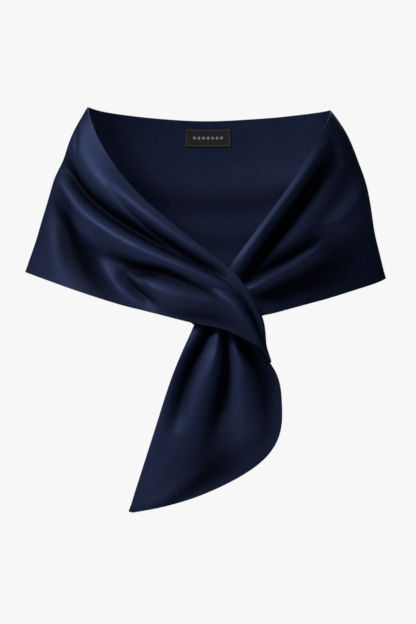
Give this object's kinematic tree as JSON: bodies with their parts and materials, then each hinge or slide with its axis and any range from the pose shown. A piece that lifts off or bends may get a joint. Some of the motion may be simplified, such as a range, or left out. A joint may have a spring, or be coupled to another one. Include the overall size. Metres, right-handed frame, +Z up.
{
  "type": "evening stole",
  "caption": "Satin evening stole that wraps the shoulders and closes in front by passing one gathered end through a loop formed by the other.",
  "frame": {"origin": "midway between the wearer's shoulders, at the height of the edge that rests on them", "axes": "+X towards the wearer's left, +Y from the chest to the back, +Z up"},
  "size_m": [0.545, 0.2867, 0.5956],
  "materials": {
    "navy_satin": "satin",
    "black_label_weave": "matte"
  },
  "bodies": {
    "root": {"back": "navy_satin", "front_over": "navy_satin", "front_under": "navy_satin", "loop_return": "navy_satin", "tail": "navy_satin", "label": "black_label_weave"}
  },
  "joints": []
}
